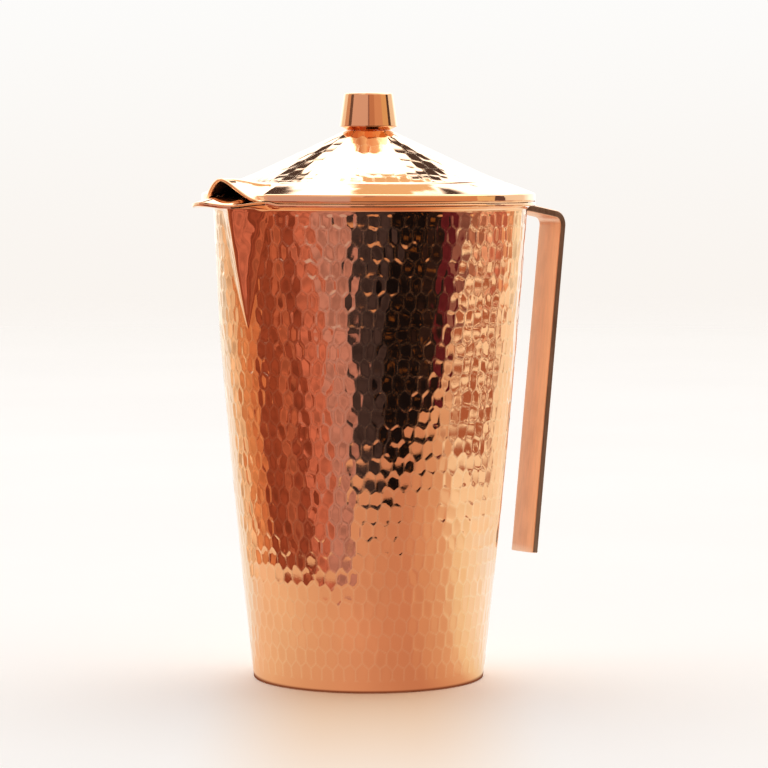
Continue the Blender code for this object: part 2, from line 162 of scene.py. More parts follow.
FLOOR_RADIUS = 7.0
FLOOR_FADE = (0.6, 4.0)
FLOOR_COLOUR = (0.968, 0.955, 0.948)
# Painted light: an orange glow painted into the floor's colour in front of the jug, towards the camera, for the
# light the copper throws there
FLOOR_PAINTED_GLOW = (0.95, 0.68, 0.45, 1.0)
FLOOR_PAINTED_GLOW_REACH = (0.0, 0.46)
FLOOR_PAINTED_GLOW_SIDE = 0.045
FLOOR_PAINTED_GLOW_SOFT = 0.030
BACKDROP_LOW = (0.955, 0.91, 0.865, 1.0)
BACKDROP_HIGH = (0.985, 0.985, 0.975, 1.0)
TABLE_EDGE = [
    (0.355, -0.082),
    (0.355, 1.40),
    (-1.20, 1.40),
    (-1.20, -1.00),
    (-0.155, -0.185),
    (-0.02, -0.275),
    (0.14, -0.155),
    (0.200, -0.046),
]
SCRAPS_FROM = (0.43, 0.54)
SCRAPS_AZIMUTHS = (64.0, 118.0)
SCRAPS_COLOUR = (0.42, 0.14, 0.075, 1.0)
PALE_FROM = (0.26, 0.40)
PALE_COLOUR = (1.00, 0.84, 0.64, 1.0)
# Painted contact shadow: the reflected table is darker close round the jug's foot
CONTACT_SHADE = (0.0497, 0.0530)
CONTACT_SHADOW_COLOUR = (0.22, 0.08, 0.045, 1.0)
TABLE_GLOW = [
    (-180, (1.10, 1.08, 1.05)),
    (-132, (0.95, 0.93, 0.88)),
    (-104, (0.92, 0.66, 0.48)),
    (-70, (0.83, 0.57, 0.39)),
    (-38, (0.76, 0.45, 0.29)),
    (-12, (0.72, 0.385, 0.25)),
    (14, (0.62, 0.295, 0.185)),
    (30, (0.61, 0.28, 0.175)),
    (46, (0.70, 0.37, 0.225)),
    (62, (0.75, 0.45, 0.285)),
    (80, (0.89, 0.73, 0.51)),
    (103, (0.95, 0.86, 0.73)),
    (130, (1.02, 1.03, 1.02)),
]
BELOW_TABLE_HEIGHT = [
    (-180, (1.10, 1.10, 1.05)),
    (-152, (0.87, 0.78, 0.66)),
    (-138, (0.85, 0.60, 0.40)),
    (-122, (0.70, 0.30, 0.14)),
    (-107, (0.55, 0.19, 0.085)),
    (-96, (0.27, 0.062, 0.032)),
    (-74, (0.42, 0.120, 0.068)),
    (-64, (0.26, 0.060, 0.034)),
    (-52, (0.50, 0.155, 0.105)),
    (-34, (0.47, 0.225, 0.20)),
    (-13, (0.050, 0.034, 0.036)),
    (9, (0.008, 0.006, 0.007)),
    (40, (0.022, 0.012, 0.011)),
    (54, (0.10, 0.015, 0.022)),
    (66, (0.24, 0.10, 0.085)),
    (78, (0.45, 0.19, 0.13)),
    (90, (0.745, 0.40, 0.28)),
    (104, (0.56, 0.185, 0.124)),
    (116, (0.72, 0.366, 0.21)),
    (132, (0.95, 0.82, 0.63)),
    (150, (1.05, 1.08, 1.10)),
]
SOFT_LIGHT = [
    (-180, (1.62, 1.62, 1.60)),
    (-120, (1.45, 1.44, 1.42)),
    (-60, (0.62, 0.59, 0.56)),
    (0, (0.46, 0.43, 0.40)),
    (60, (0.62, 0.59, 0.56)),
    (120, (1.45, 1.44, 1.42)),
    (180, (1.62, 1.62, 1.60)),
]
TABLE_HEIGHT = [
    (-180, (0.95, 0.90, 0.84)),
    (-112, (0.60, 0.41, 0.39)),
    (-13, (0.68, 0.32, 0.165)),
    (80, (0.86, 0.60, 0.32)),
    (96, (0.14, 0.08, 0.07)),
    (106, (0.95, 0.85, 0.72)),
]
ROOM = [
    (-180, (0.95, 0.82, 0.66)),
    (-112, (0.64, 0.35, 0.22)),
    (-90, (0.16, 0.09, 0.07)),
    (-75, (0.71, 0.45, 0.37)),
    (-4, (0.33, 0.16, 0.125)),
    (3, (0.56, 0.25, 0.14)),
    (25, (0.70, 0.35, 0.20)),
    (60, (0.77, 0.46, 0.22)),
    (90, (0.09, 0.05, 0.04)),
    (104, (0.95, 0.82, 0.66)),
]
OVERHEAD = [
    (-180, (2.6, 2.55, 2.5)),
    (-110, (1.0, 0.80, 0.62)),
    (-60, (0.66, 0.42, 0.31)),
    (-25, (1.05, 0.95, 0.78)),
    (-12, (0.88, 0.47, 0.31)),
    (60, (1.05, 0.95, 0.78)),
    (110, (2.6, 2.55, 2.5)),
]
FLECKS = (0.20, 0.075, 0.02, 1.0)
# (colour, azimuth range, height range, softness of each)
PATCHES = [
    # the gaps between the backdrop and the ceiling cards, on either side of straight back
    ((0.085, 0.058, 0.050), (-171.5, -150), (28.5, 37.5), (0.8, 1.2)),
    ((0.085, 0.058, 0.050), (150, 171.5), (34.0, 43.0), (0.8, 1.2)),
    ((0.16, 0.11, 0.09), (-174.5, -170), (21.5, 26.5), (0.6, 1.0)),
    ((0.10, 0.07, 0.06), (171.9, 172.7), (26.0, 29.5), (0.3, 0.6)),
    # the warm card behind the lid
    ((0.90, 0.60, 0.33), (172.6, 181.0), (29.0, 45.4), (0.6, 0.6)),
    ((0.90, 0.60, 0.33), (-181.0, -178.0), (29.0, 45.4), (0.6, 0.6)),
]

rng = np.random.default_rng(7)


def mix(low, high, share):
    return low + (high - low) * share


def smooth_step(value):
    value = np.clip(value, 0.0, 1.0)
    return value * value * (3.0 - 2.0 * value)


# ---- Meshes -------------------------------------------------------------------------------------


def skin_mesh(name, points, ridges, outside_rows, materials):
    """A closed skin with its ridges marked, polished outside and satin inside."""
    mesh = grid_mesh(name, points)
    mesh.attributes.new("ridge", "FLOAT", "POINT").data.foreach_set("value", ridges.ravel().astype(np.float32))
    for material in materials:
        mesh.materials.append(material)
    rows = points.shape[1]
    inside = np.arange(len(mesh.polygons)) % rows >= outside_rows
    mesh.polygons.foreach_set("material_index", inside.astype(np.int32))
    return mesh


def grid_mesh(name, points, close_rows=True):
    """A mesh from points[column, row], closed round the columns and, unless told not, round the rows."""
    columns, rows = points.shape[:2]
    index = np.arange(columns * rows).reshape(columns, rows)
    right = np.roll(index, -1, axis=0)
    if close_rows:
        up, up_right = np.roll(index, -1, axis=1), np.roll(right, -1, axis=1)
    else:
        up, up_right = index[:, 1:], right[:, 1:]
        index, right = index[:, :-1], right[:, :-1]
    quads = np.stack([index, right, up_right, up], axis=-1).reshape(-1, 4).astype(np.int32)
    mesh = bpy.data.meshes.new(name)
    mesh.vertices.add(columns * rows)
    mesh.vertices.foreach_set("co", points.reshape(-1).astype(np.float32))
    mesh.loops.add(quads.size)
    mesh.loops.foreach_set("vertex_index", quads.reshape(-1))
    mesh.polygons.add(len(quads))
    mesh.polygons.foreach_set("loop_start", np.arange(0, quads.size, 4, dtype=np.int32))
    mesh.update(calc_edges=True)
    mesh.validate()
    return mesh


def turn_outwards(mesh):
    shape = bmesh.new()
    shape.from_mesh(mesh)
    bmesh.ops.recalc_face_normals(shape, faces=shape.faces)
    shape.to_mesh(mesh)
    shape.free()


def add_piece(name, mesh, material, body, node):
    """Puts a finished skin in the scene in place of its CAD node."""
    turn_outwards(mesh)
    if material:
        mesh.materials.append(material)
    mesh.shade_smooth()
    piece = bpy.data.objects.new(name, mesh)
    bpy.context.scene.collection.objects.link(piece)
    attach(piece, body)
    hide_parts(node)
    return piece


def place(turn, reach, height):
    return np.stack([-reach * np.cos(turn), -reach * np.sin(turn), height + 0.0 * reach], axis=-1)


# ---- Hammer marks -------------------------------------------------------------------------------


def hammer_rows(start, end, around_at):
    """Staggered rows of hammer marks, with each mark's place and tilt."""
    levels = start + MARK_HEIGHT * (np.arange(int(round((end - start) / MARK_HEIGHT)) + 3) - 0.5)
    counts = np.array([max(6, int(round(around_at(level) / MARK_WIDTH))) for level in levels])
    size = (len(levels), counts.max())
    return {
        "levels": levels,
        "counts": counts,
        "offsets": 0.5 * (np.arange(len(levels)) % 2) + rng.uniform(-0.07, 0.07, len(levels)),
        "shift": rng.normal(0.0, MARK_SPREAD, size),
        "lift": rng.normal(0.0, MARK_SPREAD, size),
        "across": rng.normal(0.0, MARK_TILT_ACROSS, size),
        "up": rng.normal(0.0, MARK_TILT_UP, size),
    }


def hammered(turn, along, radius, bend, rows, tilt_share=1.0):
    """The hammered skin's height over the smooth one, and how near each point is to a ridge, from 0 to 1.

    Each mark is a shallow dish with its own tilt, which dies out at the ridges where it meets its neighbours.
    bend is the smooth skin's own radius of curvature round the jug, which each mark flattens.
    """
    nearest = np.floor((along - rows["levels"][0]) / MARK_HEIGHT + 0.5).astype(int)
    dish_across = 0.5 / bend + MARK_DISH_ACROSS
    height, next_height = np.full(turn.shape, np.inf), np.full(turn.shape, np.inf)
    slope, next_slope = (np.zeros((2, *turn.shape)) for _ in range(2))
    tilt = np.zeros(turn.shape)
    for step in (-1, 0, 1):
        row = np.clip(nearest + step, 0, len(rows["levels"]) - 1)
        marks = rows["counts"][row]
        width = 2.0 * math.pi * radius / marks
        place_in_row = turn / (2.0 * math.pi) * marks - rows["offsets"][row]
        for side in (-1, 0, 1):
            number = np.round(place_in_row).astype(int) + side
            which = number % marks
            across = (place_in_row - number) * width - rows["shift"][row, which]
            up = along - rows["levels"][row] - rows["lift"][row, which]
            dish = dish_across * across**2 + MARK_DISH_UP * up**2
            lean = np.stack([2.0 * dish_across * across, 2.0 * MARK_DISH_UP * up])
            deeper = dish < height
            second = ~deeper & (dish < next_height)
            next_height = np.where(deeper, height, np.where(second, dish, next_height))
            next_slope = np.where(deeper, slope, np.where(second, lean, next_slope))
            height = np.where(deeper, dish, height)
            slope = np.where(deeper, lean, slope)
            tilted = rows["across"][row, which] * across + rows["up"][row, which] * up
            tilt = np.where(deeper, tilted, tilt)
    away = (next_height - height) / np.maximum(np.hypot(*(next_slope - slope)), 1e-6)
    tilt = tilt_share * tilt * smooth_step(away / MARK_BORDER)
    return height + tilt, np.exp(-((away / RIDGE_WIDTH) ** 2))


# ---- Body wall ----------------------------------------------------------------------------------


def wall_radius(height):
    share = height / WALL_TOP
    straight = mix(FOOT_RADIUS, SHOULDER_RADIUS, share)
    return straight + 4.0 * WALL_BOW * share * (1.0 - share)


def spout_share(height):
    rise = (height - SPOUT_FOOT) / (WALL_TOP - SPOUT_FOOT)
    return np.clip(rise, 0.0, 1.0) ** SPOUT_GROWTH


def wall_reach(turn, height):
    """Distance from the axis to the smooth wall's outer face, with the spout's flat flanks."""
    turn = np.abs(turn)
    radius = wall_radius(height)
    share = spout_share(height)
    crease = SPOUT_HALF_TURN * share
    along = (turn - DRAW_IN_FROM) / (DRAW_IN_TO - DRAW_IN_FROM)
    inward = np.sin(math.pi * np.clip(along, 0.0, 1.0)) ** 2
    plain = radius - DRAW_IN * share * inward
    nose = radius + SPOUT_REACH * share
    side_x, side_y = radius * np.cos(crease), radius * np.sin(crease)
    soft = np.minimum(crease, np.sqrt(turn**2 + (NOSE_SOFTNESS * share) ** 2))
    flank = nose * side_y / (side_y * np.cos(soft) + (nose - side_x) * np.sin(soft) + 1e-12)
    hollow = FLANK_HOLLOW * share * np.sin(math.pi * np.clip(turn / (crease + 1e-9), 0.0, 1.0))
    wave = FLANK_WAVE * share * (np.sin(height * 620.0 + turn * 31.0) + np.sin(height * 370.0 - turn * 57.0))
    return np.where((turn < crease) & (share > 0.0), flank - hollow + wave, plain)


def lip_reach(turn):
    across = BEAK_CENTRE * np.sin(turn)
    beak = BEAK_CENTRE * np.cos(turn) + np.sqrt(np.maximum(0.0, BEAK_ROUND**2 - across**2))
    gap = beak - LIP_RADIUS
    blended = 0.5 * (beak + LIP_RADIUS + np.sqrt(gap * gap + BEAK_BLEND**2))
    return np.where((np.abs(across) >= BEAK_ROUND) | (np.cos(turn) < 0.0), LIP_RADIUS, blended)


def lip_wave(turn):
    turn = np.abs(turn)
    wave = np.zeros_like(turn)
    for index in range(len(WAVE_RISES) - 1):
        near, far = WAVE_TURNS[index], WAVE_TURNS[index + 1]
        rise = mix(WAVE_RISES[index], WAVE_RISES[index + 1], smooth_step((turn - near) / (far - near)))
        wave = np.where((turn >= near) & (turn <= far), rise, wave)
    return wave


def crest_rise(turn):
    return CREST_RISE * (1.0 - smooth_step((np.abs(turn) - CREST_TURN) / (CREST_END - CREST_TURN)))


def smooth_path(corners, rounds=2):
    """Rounds an open outline's corners, columns x corners x 2, by cutting them again and again."""
    for _ in range(rounds):
        quarter = mix(corners[:, :-1], corners[:, 1:], 0.25)
        three = mix(corners[:, :-1], corners[:, 1:], 0.75)
        inner = np.stack([quarter, three], axis=2).reshape(len(corners), -1, 2)
        corners = np.concatenate([corners[:, :1], inner[:, 1:-1], corners[:, -1:]], axis=1)
    return corners


LIP_OUTSIDE = 40


def lip_outline(turn):
    """The lip's rounded section at each turn, from the wall's outer face over to its inner face."""
    root = wall_reach(turn, WALL_TOP)
    edge = lip_reach(turn)
    wide = edge - root
    wave, rise = lip_wave(turn), crest_rise(turn)
    thicker = 1.0 - smooth_step((np.abs(turn) - WAVE_TURNS[2]) / WAVE_TURNS[1])
    under = LIP_TOP - LIP_THICK - BEAK_THICKER * thicker
    top = LIP_TOP
    low = WALL_GRID[1]
    corners = [
        (wall_reach(turn, low + 0.0002), low + 0.0002),
        (wall_reach(turn, low + 0.0006), low + 0.0006),
        (root + 0.04 * wide, WALL_TOP + 0.0002 + 0.4 * rise),
        (root + 0.35 * wide, under - 0.0003 + 0.8 * rise),
        (root + 0.70 * wide, under + 0.5 * wave + 0.45 * rise),
        (edge - 0.0002, under + wave),
        (edge, under + 0.0002 + wave),
        (edge, top - 0.0002 + wave),
        (edge - 0.0002, top + wave),
        (root + 0.60 * wide, top + 0.5 * wave + 0.6 * rise),
        (root + 0.25 * wide, top + rise),
        (root - 0.05 * wide, top - 0.0002 + 0.9 * rise),
        (root - 0.75 * SHEET - 0.05 * wide, WALL_TOP + 0.0010 + 0.4 * rise),
        (wall_reach(turn, low - 0.0010) - SHEET, low - 0.0010),
    ]
    outline = [np.stack([reach, height + 0.0 * turn], axis=-1) for reach, height in corners]
    return smooth_path(np.stack(outline, axis=1))


def body_wall_points():
    turn = np.linspace(-math.pi, math.pi, BODY_COLUMNS, endpoint=False)
    heights = np.linspace(*WALL_GRID, int(round((WALL_GRID[1] - WALL_GRID[0]) / WALL_STEP)))
    rows = hammer_rows(*WALL_MARKS, lambda level: 2 * math.pi * wall_radius(level))
    turns, levels = np.meshgrid(turn, heights, indexing="ij")
    marks, ridges = hammered(turns, levels, wall_radius(levels), wall_radius(levels), rows)
    start, end = WALL_MARKS
    shown = smooth_step((levels - start) / MARK_FADE) * smooth_step((end - levels) / MARK_FADE)
    crease = SPOUT_HALF_TURN * spout_share(levels)
    beside = smooth_step((np.abs(turns) - crease) / SPOUT_CLEAR_TURN)
    shown = shown * np.where(crease > 0.0, beside, 1.0)
    outer = place(turns, wall_reach(turns, levels) + marks * shown, levels)
    lip = lip_outline(turn)
    lip = place(turn[:, None], lip[..., 0], lip[..., 1])
    inside = np.array([0.1940, 0.190, 0.185, 0.180, 0.174, 0.168, 0.162, 0.156, 0.151, 0.148])
    inside = np.concatenate([inside, np.linspace(0.140, FOOT_EASE, 12)])
    turns, levels = np.meshgrid(turn, inside, indexing="ij")
    inner = place(turns, wall_reach(turns, levels) - SHEET, levels)
    foot = [(FOOT_RADIUS - SHEET, 0.0), (FOOT_RADIUS - 0.0004, 0.0), (FOOT_RADIUS - 0.0001, 0.0001)]
    foot = [place(turn, radius + 0.0 * turn, height) for radius, height in foot]
    points = np.concatenate([outer, lip, inner, np.stack(foot, axis=1)], axis=1)
    return points, ridge_values(points, ridges * shown), len(heights) + LIP_OUTSIDE


def ridge_values(points, ridges):
    """The ridges' strength at each point of a skin whose first rows are the hammered ones."""
    values = np.zeros(points.shape[:2])
    values[:, : ridges.shape[1]] = ridges
    return values


# ---- Lid ----------------------------------------------------------------------------------------


def cone_height(radius):
    """Height of the smooth cone: straight down to the knee, then easing into the crease."""
    slope = (LID_TOP - CONE_KNEE[1]) / (CONE_KNEE[0] - LID_FLAT_RADIUS)
    straight = LID_TOP - slope * (radius - LID_FLAT_RADIUS)
    share = np.clip((radius - CONE_KNEE[0]) / (CREASE[0] - CONE_KNEE[0]), 0.0, 1.0)
    middle = CONE_KNEE[1] - slope * 0.5 * (CREASE[0] - CONE_KNEE[0])
    knee = mix(mix(CONE_KNEE[1], middle, share), mix(middle, CREASE[1], share), share)
    return np.where(radius > CONE_KNEE[0], knee, np.where(radius < LID_FLAT_RADIUS, LID_TOP, straight))


def hood_points(turn, share):
    """The hood's outer face: share 0 on the lid's crease, 1 on the opening's edge."""
    across_end = HOOD_FOOT[1] * turn / HOOD_TURN
    lean = np.minimum(1.0, np.abs(across_end) / HOOD_FOOT[1])
    reach_end = mix(HOOD_REACH, HOOD_FOOT[0], lean**2)
    reach = mix(CREASE[0] * np.cos(turn), reach_end, share)
    across = mix(CREASE[0] * np.sin(turn), across_end, share)
    run = (reach - CREASE[0]) / (HOOD_FOOT[0] - CREASE[0])
    lift = np.where(run > 0.0, smooth_step(0.5 + 0.5 * run) * 2.0 - 1.0, 0.0)
    ridge = mix(CREASE[1], HOOD_TOP, lift)
    slope = (HOOD_TOP - HOOD_FOOT[2]) / (math.hypot(HOOD_FOOT[1], HOOD_CURVE) - HOOD_CURVE)
    drop = slope * (np.hypot(across, HOOD_CURVE) - HOOD_CURVE)
    fall = drop * np.clip(run, 0.0, 1.0) ** 0.9
    return np.stack([-reach, -across, ridge - fall], axis=-1)


def rim_path(count):
    """The plain flange and skirt as (radius, height) points, and each one's share of the way."""
    slope = (CREASE[1] - FLANGE_END[1]) / (FLANGE_END[0] - CREASE[0])
    corner = (SKIRT_RADIUS, FLANGE_END[1] - slope * (SKIRT_RADIUS - FLANGE_END[0]))
    lean = math.atan(slope)
    half = (math.pi / 2 - lean) / 2
    length = SKIRT_BEND * math.tan(half)
    start = (corner[0] - length * math.cos(lean), corner[1] + length * math.sin(lean))
    centre = (SKIRT_RADIUS - SKIRT_BEND, corner[1] - length)
    flange = np.linspace(0.0, 1.0, count)[1:-1]
    points = [(mix(CREASE[0], start[0], share), mix(CREASE[1], start[1], share)) for share in flange]
    for angle in np.linspace(math.pi / 2 - lean, 0.0, 8):
        points.append((centre[0] + SKIRT_BEND * math.cos(angle), centre[1] + SKIRT_BEND * math.sin(angle)))
    for share in (0.33, 0.67, 1.0):
        points.append((SKIRT_RADIUS, mix(centre[1], SKIRT_FOOT, share)))
    points = np.array(points)
    steps = np.hypot(*np.diff(np.vstack([[CREASE], points]), axis=0).T)
    return points, np.cumsum(steps) / steps.sum()


def lid_outer_points():
    turn = np.linspace(-math.pi, math.pi, LID_COLUMNS, endpoint=False)
    radii = np.concatenate([np.linspace(SCREW_HOLE_RADIUS, LID_FLAT_RADIUS, 5)[:-1],
                            np.linspace(LID_FLAT_RADIUS, CREASE[0], 92)])
    rows = hammer_rows(*CONE_MARKS, lambda level: 2 * math.pi * max(level, 0.006))
    across = np.maximum(radii, 0.006)
    turns, reaches = np.meshgrid(turn, radii, indexing="ij")
    marks, ridges = hammered(turns, reaches, across[None], 2.4 * across[None], rows, CONE_TILT_SHARE)
    start, end = CONE_MARKS
    shown = smooth_step((reaches - start) / MARK_FADE) * smooth_step((end - reaches) / MARK_FADE)
    cone = place(turns, reaches, cone_height(reaches) + marks * shown)
    path, share = rim_path(30)
    turns, radius = np.meshgrid(turn, path[:, 0], indexing="ij")
    height = np.broadcast_to(path[:, 1], turns.shape)
    step = CREASE_STEP * np.exp(-((radius - CREASE[0]) / CREASE_STEP_WIDTH) ** 2)
    run = np.clip((radius - CREASE[0]) / (FLANGE_END[0] - CREASE[0]), 0.0, 1.0)
    step = step - FLANGE_BULGE * np.sin(math.pi * run)
    plain = place(turns, radius, height - step)
    shares = np.broadcast_to(share, turns.shape)
    hooded = hood_points(turns, shares)
    blend_from = mix(*HOOD_BLEND_FROM, shares)
    weight = smooth_step((np.abs(turns) - blend_from) / HOOD_BLEND)
    rim = mix(hooded, plain, weight[..., None])
    return np.concatenate([cone, rim], axis=1), ridges * shown


def lift_clear(points):
    """Lifts what would touch the lip below the lid."""
    turn = np.arctan2(-points[..., 1], -points[..., 0])
    rest = LIP_TOP + np.maximum(0.0, lip_wave(turn)) + crest_rise(turn) + GAP
    points[..., 2] = np.maximum(points[..., 2], rest)
    return points


def lid_points():
    outer, ridges = lid_outer_points()
    smooth = outer[:, ::3]
    smooth = np.concatenate([smooth, outer[:, -1:]], axis=1)
    around = np.roll(smooth, -1, axis=0) - np.roll(smooth, 1, axis=0)
    along = np.gradient(smooth, axis=1)
    square = np.cross(around, along)
    square /= np.linalg.norm(square, axis=-1, keepdims=True)
    inner = smooth + square * LID_SHEET
    points = lift_clear(np.concatenate([outer, inner[:, ::-1]], axis=1))
    return points, ridge_values(points, ridges), outer.shape[1]


# ---- Handle and knob ----------------------------------------------------------------------------


def rounded_path(corners, bends, steps):
    path = [Vector(corners[0])]
    for before, corner, after, bend in zip(corners, corners[1:], corners[2:], bends):
        into = (Vector(corner) - Vector(before)).normalized()
        out = (Vector(after) - Vector(corner)).normalized()
        half = into.angle(out) / 2
        middle = Vector(corner) + (out - into).normalized() * bend / math.cos(half)
        start = Vector(corner) - into * bend * math.tan(half) - middle
        side = 1 if into.x * out.y - into.y * out.x > 0 else -1
        for step in range(steps + 1):
            angle = side * 2 * half * step / steps
            turned = Vector((start.x * math.cos(angle) - start.y * math.sin(angle),
                             start.x * math.sin(angle) + start.y * math.cos(angle)))
            path.append(middle + turned)
    return path + [Vector(corners[-1])]


def strap_points():
    """Sections of the bent bar along its path, with eased edges and slightly rounded ends."""
    stand = GAP + STRAP_THICK / 2
    tab_foot = (float(wall_radius(TAB_FOOT)) + stand, TAB_FOOT)
    tab_top = (float(wall_radius(TAB_TOP)) + stand, TAB_TOP)
    corners = [tab_foot, tab_top, ARM_APEX, ARM_ELBOW, LEG_END]
    path = rounded_path(corners, [TAB_BEND, APEX_BEND, ELBOW_BEND], 14)
    dense = []
    for near, far in zip(path, path[1:]):
        count = max(1, int((far - near).length / 0.004))
        dense += [near.lerp(far, step / count) for step in range(count)]
    path = dense + [path[-1]]
    half_wide, half_thick, ease = STRAP_WIDTH / 2, STRAP_THICK / 2, 0.00055
    section = []
    for across, thick, first in ((1, 1, 0), (-1, 1, 90), (-1, -1, 180), (1, -1, 270)):
        for step in range(4):
            angle = math.radians(first + 30 * step)
            section.append((across * (half_wide - ease) + ease * math.cos(angle),
                            thick * (half_thick - ease) + ease * math.sin(angle)))
    columns = []
    for index, point in enumerate(path):
        along = (path[min(index + 1, len(path) - 1)] - path[max(index - 1, 0)]).normalized()
        square = Vector((-along.y, along.x))
        ring = [(point.x + square.x * thick, across, point.y + square.y * thick) for across, thick in section]
        columns.append(ring)
    first, last = columns[0], columns[-1]
    columns[0] = shrink(first, path[0], 1.0)
    columns.insert(0, shrink(first, path[0], 0.93, (path[0] - path[1]).normalized() * 0.00025))
    columns[-1] = shrink(last, path[-1], 1.0)
    columns.append(shrink(last, path[-1], 0.93, (path[-1] - path[-2]).normalized() * 0.00025))
    return columns


def shrink(ring, centre, share, push=Vector((0.0, 0.0))):
    return [(centre.x + (x - centre.x) * share + push.x, y * share,
             centre.y + (z - centre.y) * share + push.y) for x, y, z in ring]


def strap_mesh():
    columns = strap_points()
    shape = bmesh.new()
    rings = [[shape.verts.new(point) for point in ring] for ring in columns]
    for near, far in zip(rings, rings[1:]):
        for index in range(len(near)):
            after = (index + 1) % len(near)
            shape.faces.new((near[index], near[after], far[after], far[index]))
    shape.faces.new(rings[0])
    shape.faces.new(rings[-1])
    mesh = bpy.data.meshes.new("handle")
    shape.to_mesh(mesh)
    shape.free()
    return mesh


def knob_points():
    corners = [
        (0.00001, KNOB_TOP + KNOB_CROWN),
        (0.5 * KNOB_TOP_RADIUS, KNOB_TOP + 0.8 * KNOB_CROWN),
        (KNOB_TOP_RADIUS - 0.0003, KNOB_TOP + 0.0001),
        (KNOB_TOP_RADIUS, KNOB_TOP - 0.0004),
        (KNOB_TOP_RADIUS + 0.0001, KNOB_TOP - 0.0010),
        (KNOB_RADIUS - 0.0001, KNOB_SHOULDER + 0.0010),
        (KNOB_RADIUS, KNOB_SHOULDER + 0.0002),
        (KNOB_RADIUS - 0.0003, KNOB_SHOULDER),
        (KNOB_FOOT_RADIUS + 0.0002, KNOB_FOOT + 0.0003),
        (KNOB_FOOT_RADIUS - 0.0002, KNOB_FOOT),
        (SCREW_HOLE_RADIUS + 0.0004, KNOB_FOOT),
        (SCREW_HOLE_RADIUS, KNOB_FOOT + 0.0004),
        (SCREW_HOLE_RADIUS, SCREW_HOLE_TOP - 0.0014),
        (0.00001, SCREW_HOLE_TOP),
    ]
    outline = smooth_path(np.array(corners)[None])[0]
    turn = np.linspace(-math.pi, math.pi, 144, endpoint=False)
    turns, radius = np.meshgrid(turn, outline[:, 0], indexing="ij")
    return place(turns, radius, np.broadcast_to(outline[:, 1], turns.shape))


# ---- Materials ----------------------------------------------------------------------------------


class Nodes:
    """Short names for building a node tree."""

    def __init__(self, tree):
        self.tree = tree

    def add(self, kind, **settings):
        node = self.tree.nodes.new(kind)
        for name, value in settings.items():
            setattr(node, name, value)
        return node

    def link(self, output, socket):
        if isinstance(output, (int, float, tuple)):
            socket.default_value = output
        else:
            self.tree.links.new(output, socket)

    def math(self, operation, *values):
        node = self.add("ShaderNodeMath", operation=operation)
        for value, socket in zip(values, node.inputs):
            self.link(value, socket)
        return node.outputs[0]

    def ramp(self, value, low, high, to_low=0.0, to_high=1.0, smooth=True):
        node = self.add("ShaderNodeMapRange", interpolation_type="SMOOTHSTEP" if smooth else "LINEAR")
        for number, item in enumerate((value, low, high, to_low, to_high)):
            self.link(item, node.inputs[number])
        return node.outputs[0]

    def window(self, value, low, high, soft):
        """1 between low and high and 0 outside them, over soft edges."""
        rise = self.ramp(value, low - soft, low + soft)
        return self.math("MULTIPLY", rise, self.ramp(value, high - soft, high + soft, 1.0, 0.0))

    def bands(self, azimuth, stops, interpolation):
        """A colour for each azimuth in degrees, from (azimuth, colour) stops."""
        node = self.add("ShaderNodeValToRGB")
        node.color_ramp.interpolation = interpolation
        elements = node.color_ramp.elements
        while len(elements) > 1:
            elements.remove(elements[-1])
        for number, (angle, colour) in enumerate(stops):
            place_at = (angle + 180.0) / 360.0
            element = elements[0] if number == 0 else elements.new(place_at)
            element.position = place_at
            element.color = (*colour, 1.0)
        self.link(self.math("MULTIPLY_ADD", azimuth, 1.0 / 360.0, 0.5), node.inputs[0])
        return node.outputs[0]

    def colours(self, share, low, high, blend="MIX"):
        node = self.add("ShaderNodeMix", data_type="RGBA", blend_type=blend)
        self.link(share, node.inputs[0])
        self.link(low, node.inputs[6])
        self.link(high, node.inputs[7])
        return node.outputs[2]

    def noise(self, vector, scale, detail=3.0, roughness=0.5):
        node = self.add("ShaderNodeTexNoise")
        self.link(vector, node.inputs["Vector"])
        node.inputs["Scale"].default_value = scale
        node.inputs["Detail"].default_value = detail
        node.inputs["Roughness"].default_value = roughness
        return node.outputs["Fac"]

    def scaled(self, vector, factors):
        node = self.add("ShaderNodeMapping")
        self.link(vector, node.inputs["Vector"])
        node.inputs["Scale"].default_value = factors
        return node.outputs[0]


def new_metal(name):
    material = bpy.data.materials.new(name)
    material.use_nodes = True
    shader = material.node_tree.nodes["Principled BSDF"]
    shader.inputs["Metallic"].default_value = 1.0
    nodes = Nodes(material.node_tree)
    place_at = nodes.add("ShaderNodeTexCoord").outputs["Object"]
    return material, shader, nodes, place_at


def shade(rgb, factor):
    return (*(min(1.0, part * factor) for part in rgb), 1.0)


def polished(name, rgb, roughness):
    """Mirror-polished copper: slow shifts of tone and haze, fine polishing marks, and a painted highlight that
    makes the ridges paler.
    """
    material, shader, nodes, place_at = new_metal(name)
    tone = nodes.ramp(nodes.noise(place_at, 28.0), 0.35, 0.65)
    ridge = nodes.add("ShaderNodeAttribute", attribute_name="ridge").outputs["Fac"]
    copper = nodes.colours(tone, shade(rgb, 0.965), shade(rgb, 1.035))
    # Painted highlight: paler colour along the ridges
    ridge_highlight = nodes.math("MULTIPLY", ridge, RIDGE_HIGHLIGHT_SHARE)
    nodes.link(nodes.colours(ridge_highlight, copper, RIDGE_HIGHLIGHT_COPPER), shader.inputs["Base Color"])
    haze = nodes.ramp(nodes.noise(place_at, 60.0, 5.0, 0.6), 0.35, 0.75, 0.7 * roughness, 1.5 * roughness)
    nodes.link(nodes.math("MULTIPLY_ADD", ridge, RIDGE_ROUGHNESS, haze), shader.inputs["Roughness"])
    fine = nodes.noise(nodes.scaled(place_at, (1.0, 1.0, 5.0)), 900.0, 2.0)
    bump = nodes.add("ShaderNodeBump")
    bump.inputs["Strength"].default_value = 0.012
    bump.inputs["Distance"].default_value = 0.0002
    nodes.link(fine, bump.inputs["Height"])
    nodes.link(bump.outputs[0], shader.inputs["Normal"])
    return material


